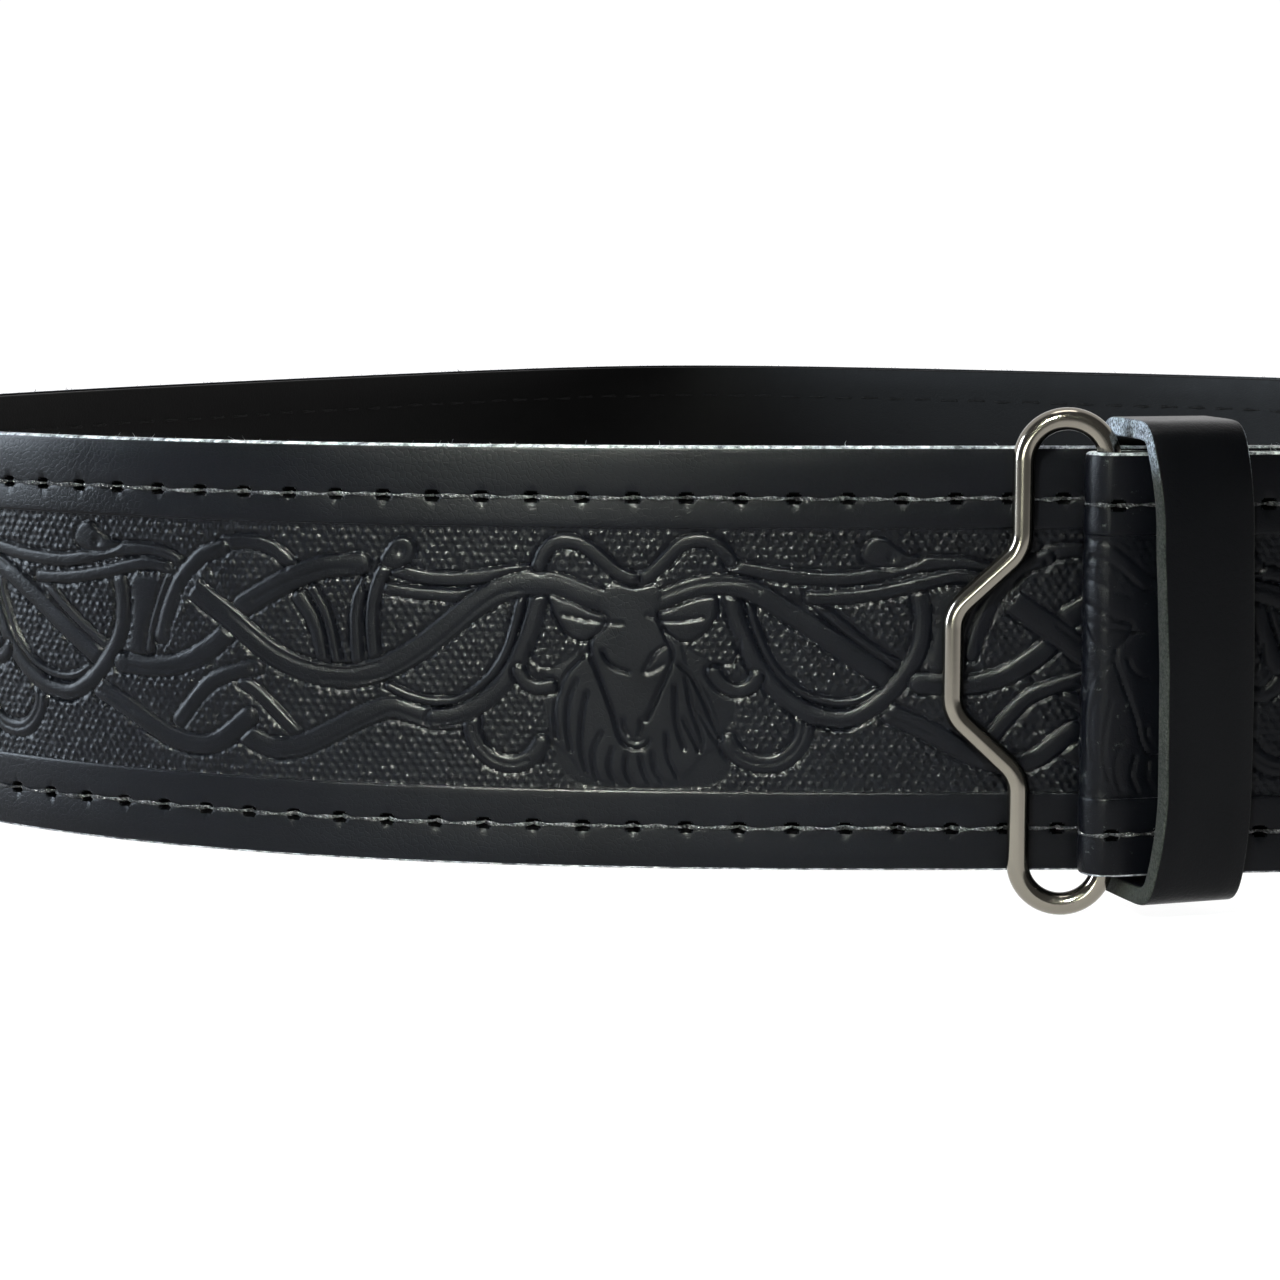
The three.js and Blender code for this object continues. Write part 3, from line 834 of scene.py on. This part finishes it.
# Ground with rows of small knobs, a little out of line.
def pebbledGround(xs, zs):
    o = ornament
    along, up = o["pebbleAlong"], o["pebbleUp"]
    swayAlong, swayUp = o["pebbleSway"]
    least, more = o["pebbleShares"]
    heights = np.full((len(xs), len(zs)), o["ground"])
    for i in range(int(xs[0] / along) - 1, int(xs[-1] / along) + 2):
        for j in range(int(zs[0] / up) - 1, int(zs[-1] / up) + 2):
            x = (i + (j % 2) / 2 + swayAlong * (chanceAt(i, j, 1) - 0.5)) * along
            z = (j + swayUp * (chanceAt(i, j, 2) - 0.5)) * up
            tall = o["pebble"] * (least + more * chanceAt(i, j, 3))
            i0, i1 = np.searchsorted(xs, (x - 1, x + 1))
            j0, j1 = np.searchsorted(zs, (z - 1, z + 1))
            away = np.hypot(xs[i0:i1, None] - x, zs[None, j0:j1] - z)
            heights[i0:i1, j0:j1] += tall * np.exp(-(away / o["pebbleRadius"]) ** 2)
    return heights


def paintRow(heights, xs, zs, kind, size, points):
    o = ornament
    closed = kind in ("patch", "leaf")
    line = throughPoints(points, closed)
    if line[:, 0].max() < xs[0] - 3 or line[:, 0].min() > xs[-1] + 3:
        return heights
    if kind == "cut":
        away = distanceFrom(line, xs, zs, 1.2)
        return heights - size * np.exp(-(away / o["cutHalf"]) ** 2)
    if closed:
        away = distanceFrom(np.concatenate([line, line[:1]]), xs, zs, 1.5)
        away = np.where(insideOutline(line, xs, zs), -away, away)
        top = size - o["rimDrop"] * np.exp(np.clip(away, -9, 0) / o["rimReach"])
        groove = o["leafGroove"] if kind == "leaf" else 0
    else:
        reach = distanceFrom(line, xs, zs, size / 2 + 1.2, kind == "butt")
        top = o["top"] - o["crown"] * np.clip(reach / (size / 2), 0, 2) ** 2
        if size > 2.2:
            top = top - o["line"] * np.exp(-((reach - o["lineAt"] * size / 2) / o["lineHalf"]) ** 2)
        away, groove = reach - size / 2, o["groove"]
    cover = smooth((o["slopeHalf"] - away) / (2 * o["slopeHalf"]))
    heights = heights * (1 - cover) + top * cover
    return heights - groove * np.exp(-(away / o["grooveHalf"]) ** 2)


# Heights of the pressed band over lengths along the flat strap and heights above its lower edge.
def ornamentRelief(xs, zs):
    worn = 1 - ornament["wornAway"] * wearAt(xs)[:, None]
    xs = xs - ornament["chartStart"]
    heights = pebbledGround(xs, zs)
    shifts = [k * ornament["repeat"] for k in range(-3, 12)]
    shifts = [shift for shift in shifts if xs[0] - 145 < shift < xs[-1] - 10]
    for kind, size, points in ornament["rows"]:
        for shift in shifts:
            heights = paintRow(heights, xs, zs, kind, size, [(x + shift, z) for x, z in points])
    for x, z, reach, tall in ornament["dots"]:
        for shift in shifts:
            away = np.hypot(xs[:, None] - x - shift, zs[None, :] - z)
            heights = heights + tall * np.exp(-(away / reach) ** 2)
    return np.clip(heights, ornament["lowest"], ornament["highest"]) * worn


def makeOrnament():
    o = ornament
    inner = np.arange(o["seam"], strapLength - o["shortest"], o["repeat"])
    seams = [0, *inner, strapLength - o["endClear"]]
    low, high = face["bandBottom"] + o["clear"], face["bandTop"] - o["clear"]
    for i, (start, end) in enumerate(zip(seams, seams[1:])):
        step = o["steps"].get(i, o["otherStep"])
        xs = np.linspace(start, end, round((end - start) / step))
        zs = np.linspace(low, high, round((high - low) / step))
        panel = pressedSheet(f"ornament_{i + 1}", xs, zs, o["depth"], ornamentRelief)
        markWear(panel)
        layIn(panel)
        dress(panel, [embossedLeather])


makeOrnament()


def makeLining():
    length = flatAt(loopLength - belt["flap"]) - belt["gap"]
    steps = int(length / 2.5)
    fresh()
    bpy.ops.mesh.primitive_grid_add(x_subdivisions=steps, y_subdivisions=12, size=1)
    lining = made("lining")
    edit(lining)
    bpy.ops.mesh.extrude_region_move(TRANSFORM_OT_translate={"value": (0, 0, -belt["lining"])})
    finishEdit()
    spots = places(lining)
    tall = belt["width"] - 2 * belt["liningInset"]
    outer = -(belt["face"] + belt["gap"])
    setPlaces(lining, np.stack([
        (spots[:, 0] + 0.5) * length,
        outer + spots[:, 2],
        belt["liningInset"] + (spots[:, 1] + 0.5) * tall,
    ], axis=1))
    facesOut(lining)
    modify(lining, "BEVEL", width=0.3, segments=3, limit_method="ANGLE")
    layIn(lining)
    dress(lining, [liningLeather], node="strap_lining")
    return length


liningLength = makeLining()


rodRowsApart = 9


# Rows of short closed rods, each one unit long and starting two units on from the last.
def rodRow(name, sides, steps, count, rows=1):
    fresh()
    bpy.ops.mesh.primitive_circle_add(vertices=sides, radius=1, fill_type="NGON")
    rod = made(name)
    edit(rod, "FACE")
    for _ in range(steps):
        bpy.ops.mesh.extrude_region_move(TRANSFORM_OT_translate={"value": (0, 0, 1 / steps)})
    bpy.ops.mesh.select_all(action="SELECT")
    bpy.ops.mesh.normals_make_consistent(inside=False)
    finishEdit()
    for offset, number in (((0, 0, 2), count), ((rodRowsApart, 0, 0), rows)):
        modify(
            rod, "ARRAY", use_relative_offset=False, use_constant_offset=True,
            constant_offset_displace=offset, count=number,
        )
    return rod


# Number of the rod that each point is on, and its share of the way along it.
def rodShares(spots):
    number = (spots[:, 2] // 2 + (spots[:, 2] % 2 > 1.5)).astype(int)
    return number, spots[:, 2] - 2 * number


thread = {
    "thick": 0.32,
    "thin": 0.17,
    "steps": 12,
    "turns": 3.4,
    "high": 0.14,
    "sunk": -1.1,
    "sway": (0.14, 0.1),
    "faceSide": -0.02,
}


def threadFinish(name, dark, pale):
    material = newMaterial(name)
    coords = Value.node("ShaderNodeTexCoord", output=3)
    fuzz = noise(coords, 1500, 5, 0.7)
    finishMaterial(
        Roughness=0.85,
        Specular_IOR_Level=0.2,
        Base_Color=mixColours(fuzz.between(0.4, 0.68), dark, pale),
        Normal=bump(fuzz, 0.8, 0.0002),
    )
    return material


greyThread = threadFinish("greyThread", (0.014, 0.015, 0.016, 1), (0.11, 0.11, 0.115, 1))
blackThread = threadFinish("blackThread", (0.002, 0.002, 0.002, 1), (0.01, 0.01, 0.01, 1))


# Stitches from hole to hole in both rows, on the face side or, turned over, on the lining side.
def makeStitches(name, material, length, level, side):
    last = int(np.searchsorted(holePlaces, length - 1)) - 1
    first = int(np.searchsorted(holePlaces, 1))
    stitches = rodRow(name, sides=4, steps=thread["steps"], count=last - first, rows=2)
    spots = places(stitches)
    chance = np.random.default_rng(11 + side)
    number, share = rodShares(spots)
    row = np.rint(spots[:, 0] / rodRowsApart).astype(int)
    angle = np.arctan2(spots[:, 1], spots[:, 0] - rodRowsApart * row)
    unsure = chance.uniform(-1, 1, (3, last - first + 1, 2))[:, number, row]
    angle += math.tau * thread["turns"] * share + unsure[0]
    start, end = holePlaces[first + number], holePlaces[first + number + 1]
    arch = thread["high"] - (thread["high"] - thread["sunk"]) * np.abs(2 * share - 1) ** 4
    bow, slant = thread["sway"]
    sway = bow * unsure[1] * np.sin(math.pi * share) + slant * unsure[2] * (share - 0.5)
    level = level + side * (arch + thread["thick"] * 0.9 * np.cos(angle) * 0.5)
    middle = np.where(row == 0, face["bottomRow"], face["topRow"])
    thin = thread["thin"] + (thread["thick"] - thread["thin"]) * np.cos(2 * angle) ** 2
    setPlaces(stitches, np.stack([
        start + (end - start) * share,
        level,
        middle + sway + thin * np.sin(angle),
    ], axis=1))
    facesOut(stitches)
    layIn(stitches)
    dress(stitches, [material], smoothAngle=60)


makeStitches("face_stitches", greyThread, strapLength, thread["faceSide"], 1)
innerSide = -(belt["face"] + belt["gap"] + belt["lining"])
makeStitches("lining_stitches", blackThread, liningLength, innerSide, -1)


fuzz = {
    "count": 700,
    "thick": 0.05,
    "tall": (0.15, 0.8),
    "lean": 1.0,
    "curl": 0.5,
    "clumps": 90,
    "clumpSpread": 2.2,
    "inClumps": 0.6,
    "ends": (3, 45),  # clear of the strap's two ends
    "across": (-1.3, -0.2),
    "seed": 4,
}


# Loose fibres standing on the strap's upper cut edge.
def makeFuzz():
    fibres = rodRow("edge_fibres", sides=3, steps=4, count=fuzz["count"])
    spots = places(fibres)
    chance = np.random.default_rng(fuzz["seed"])
    number, share = rodShares(spots)
    count, first, last = fuzz["count"], fuzz["ends"][0], strapLength - fuzz["ends"][1]
    clumps = chance.uniform(first, last, fuzz["clumps"])
    at = np.where(
        chance.random(count) < fuzz["inClumps"],
        chance.choice(clumps, count) + chance.normal(0, fuzz["clumpSpread"], count),
        chance.uniform(first, last, count),
    )
    at = np.clip(at, first - 1, last + 3)
    low, high = fuzz["tall"]
    tall = low + (high - low) * chance.random(count) ** 3
    out = chance.uniform(*fuzz["across"], count)
    lean = chance.normal(0, fuzz["lean"], (2, count))
    curl = chance.normal(0, fuzz["curl"], count)
    slim = fuzz["thick"] * (1 - 0.75 * share)
    rise = tall[number] * share
    setPlaces(fibres, np.stack([
        at[number] + spots[:, 0] * slim + rise * lean[0][number] + curl[number] * rise * share,
        out[number] + spots[:, 1] * slim + rise * np.clip(lean[1][number], -0.5, 0.5),
        belt["width"] - 0.05 + rise,
    ], axis=1))
    facesOut(fibres)
    layIn(fibres)
    dress(fibres, [strapEdge], smoothAngle=60)


makeFuzz()


keeper = {
    "width": 13,
    "leather": 2.5,
    "tall": 63.8,
    "deep": 22,
    "drop": 3,
    "fromBar": 8.6,
    "forward": 1.2,
    "squareness": 6,
    "turns": ((0, 17), (0.24, 22), (0.5, 21), (0.78, 17), (1, 11)),  # share of the height, degrees
    "around": 160,
    "edgeRound": 0.35,
    "rawEdge": 0.2,
}


def tableAt(rows, place):
    places, values = np.array(rows).T
    at = np.clip(np.searchsorted(places, place, side="right") - 1, 0, len(rows) - 2)
    share = (place - places[at]) / (places[at + 1] - places[at])
    return values[at] + (values[at + 1] - values[at]) * smooth(share)


def makeKeeper():
    fresh()
    bpy.ops.mesh.primitive_circle_add(vertices=keeper["around"], radius=1, fill_type="NOTHING")
    band = made("keeper_band")
    edit(band)
    for _ in range(4):
        bpy.ops.mesh.extrude_region_move(TRANSFORM_OT_translate={"value": (0, 0, 0.25)})
    finishEdit()
    spots = places(band)
    angle = np.arctan2(spots[:, 1], spots[:, 0])
    power = 2 / keeper["squareness"]
    ahead = np.sign(np.cos(angle)) * np.abs(np.cos(angle)) ** power * keeper["deep"] / 2
    height = np.sign(np.sin(angle)) * np.abs(np.sin(angle)) ** power * keeper["tall"] / 2
    across = (spots[:, 2] - 0.5) * keeper["width"]
    setPlaces(band, np.stack([across, -ahead, height], axis=1))
    facesOut(band)
    modify(band, "SOLIDIFY", thickness=keeper["leather"], offset=-1, use_even_offset=True)
    modify(
        band, "BEVEL", width=keeper["edgeRound"], segments=3, limit_method="ANGLE",
        angle_limit=math.radians(50),
    )
    useMaterial(band, lambda at: np.abs(at[:, 0]) > keeper["width"] / 2 - keeper["rawEdge"])
    spots = places(band)
    turn = np.radians(tableAt(keeper["turns"], spots[:, 2] / keeper["tall"] + 0.5))
    across, ahead = spots[:, 0].copy(), -spots[:, 1]
    x, y = loopAt(-keeper["fromBar"], keeper["forward"])
    spots[:, 0] = across * np.cos(turn) + ahead * np.sin(turn) + x
    spots[:, 1] = across * np.sin(turn) - ahead * np.cos(turn) + y
    spots[:, 2] += keeper["tall"] / 2 - keeper["drop"]
    setPlaces(band, spots)
    facesOut(band)
    seat(band)
    dress(band, [keeperLeather, keeperEdge], node="keeper")


makeKeeper()


wire = {
    "radius": 1.5,
    "height": 67.6,
    "sideReach": 11.2,
    "middleReach": 20.1,
    "middleLength": 13.5,
    "diagonalRise": 8.3,
    "bend": 5,
    "drop": 5.3,
    "seatGap": 0.4,
    "sides": 32,
}


# Closed row of flat points with each corner rounded to its radius.
def roundedRow(corners, stepDegrees=6):
    points = []
    spots = [Vector(corner[:2]) for corner in corners]
    for i, corner in enumerate(corners):
        back = (spots[i - 1] - spots[i]).normalized()
        on = (spots[(i + 1) % len(spots)] - spots[i]).normalized()
        opening = back.angle(on)
        start = spots[i] + back * corner[2] / math.tan(opening / 2)
        centre = spots[i] + (back + on).normalized() * corner[2] / math.sin(opening / 2)
        turn = (math.pi - opening) * -math.copysign(1, back.cross(on))
        steps = max(3, round(abs(turn) / math.radians(stepDegrees)))
        for j in range(steps + 1):
            arm = start - centre
            arm.rotate(Matrix.Rotation(turn * j / steps, 2))
            points.append(centre + arm)
    return points


def makeWireLoop():
    middle = wire["height"] / 2
    low, high = wire["radius"], wire["height"] - wire["radius"]
    inner = wire["middleLength"] / 2
    outer = inner + wire["diagonalRise"]
    side, reach, bend = wire["sideReach"], wire["middleReach"], wire["bend"]
    end = side / 2 - 0.01
    row = roundedRow([
        (0, low, end), (side, low, end), (side, middle - outer, bend), (reach, middle - inner, bend),
        (reach, middle + inner, bend), (side, middle + outer, bend), (side, high, end), (0, high, end),
    ])
    lean = math.asin((belt["barOut"] - wire["seatGap"] - wire["radius"]) / reach)
    x, y = loopAt(0, belt["barOut"])
    points = [(x - p.x * math.cos(lean), y + p.x * math.sin(lean), p.y - wire["drop"]) for p in row]
    path = pathCurve("wirePath", points, closed=True, flat=False)
    path.data.bevel_depth = wire["radius"]
    path.data.bevel_resolution = wire["sides"] // 4 - 1
    only(path)
    bpy.ops.object.convert(target="MESH")
    loop = made("nickel_loop")
    facesOut(loop)
    seat(loop)
    dress(loop, [nickelPlate], body="loop", node="wire_loop")


makeWireLoop()

bpy.data.objects.remove(strapPath)


studio = {
    "cameraPlace": (-0.02457, -0.52695, 0.09281),
    "cameraPitch": 8.4,
    "lens": 81.56,
    "sensor": 36,
    "floorSize": 14,
    "wallWhite": 1.06,
    "roomGrey": 0.12,
    "wallStarts": (-0.1, 0.35),
    "floorGreys": (0.12, 0.14),
    "floorGlow": 0.96,
    "frontGlow": 0.16,  # share of the glow that is left in front
    "glowEnds": (-0.55, -0.3),
    "windowTint": (0.78, 0.89, 1.0),
    "panelTint": (0.95, 1.0, 0.88),
}


# The floor glows where it lies behind and under the belt, and less in front of the picture.
def floorFinish():
    material = newMaterial("paleFloor")
    coords = Value.node("ShaderNodeTexCoord", output=3)
    tone = noise(coords, 3, 2)
    behind = Value.node("ShaderNodeSeparateXYZ", output=1, Vector=coords).between(*studio["glowEnds"])
    sheet = mixColours(tone, *(grey(level) for level in studio["floorGreys"]))
    finishMaterial(
        Roughness=0.8,
        Specular_IOR_Level=0.1,
        Emission_Strength=studio["floorGlow"],
        Base_Color=sheet,
        Emission_Color=mixColours(behind, grey(studio["frontGlow"]), grey(1)),
    )
    return material


def makeFloor():
    fresh()
    bpy.ops.mesh.primitive_grid_add(x_subdivisions=8, y_subdivisions=8, size=studio["floorSize"])
    floor = made("floor")
    floor.data.materials.append(floorFinish())


def areaLight(name, place, target, width, height, power, colour, spread=180):
    light = bpy.data.lights.new(name, "AREA")
    light.shape = "RECTANGLE"
    light.size, light.size_y = width, height
    light.energy = power
    light.color = colour
    light.spread = math.radians(spread)
    holder = bpy.data.objects.new(name, light)
    holder.location = place
    holder.rotation_euler = (Vector(target) - Vector(place)).to_track_quat("-Z", "Y").to_euler()
    bpy.context.scene.collection.objects.link(holder)


# White wall behind the belt and a dim room in front of it.
def lightStudio():
    world = bpy.data.worlds.new("studioAir")
    bpy.context.scene.world = world
    world.use_nodes = True
    Value.tree = world.node_tree
    facing = Value.node("ShaderNodeSeparateXYZ", output=1, Vector=Value.node("ShaderNodeTexCoord", output=0))
    atWall = facing.between(*studio["wallStarts"])
    air = mixColours(atWall, grey(studio["roomGrey"]), grey(studio["wallWhite"]))
    Value.tree.links.new(air.socket, world.node_tree.nodes["Background"].inputs["Color"])
    cool, warm = studio["windowTint"], studio["panelTint"]
    areaLight("leftWindow", (-1.35, -0.13, 0.4), (-0.05, -0.15, 0.03), 0.4, 0.7, 32, cool)
    areaLight("lowPanel", (-0.5, -1.5, 0.15), (-0.05, -0.15, 0.03), 0.5, 0.16, 4.6, warm)
    areaLight("frontPanel", (-0.3, -1.15, 0.72), (-0.047, -0.15, 0.03), 0.12, 0.1, 0.36, warm, spread=11)
    areaLight("topPanel", (0.0, -0.1, 1.3), (0.0, -0.1, 0.03), 0.6, 0.3, 4.5, (1.0, 1.0, 0.97))


def placeCamera():
    camera = bpy.data.cameras.new("camera")
    camera.lens = studio["lens"]
    camera.sensor_width = studio["sensor"]
    holder = bpy.data.objects.new("camera", camera)
    holder.location = studio["cameraPlace"]
    holder.rotation_euler = Euler((math.radians(90 - studio["cameraPitch"]), 0, 0))
    bpy.context.scene.collection.objects.link(holder)
    bpy.context.scene.camera = holder
    bpy.context.scene.view_settings.view_transform = "Standard"


makeFloor()
lightStudio()
placeCamera()
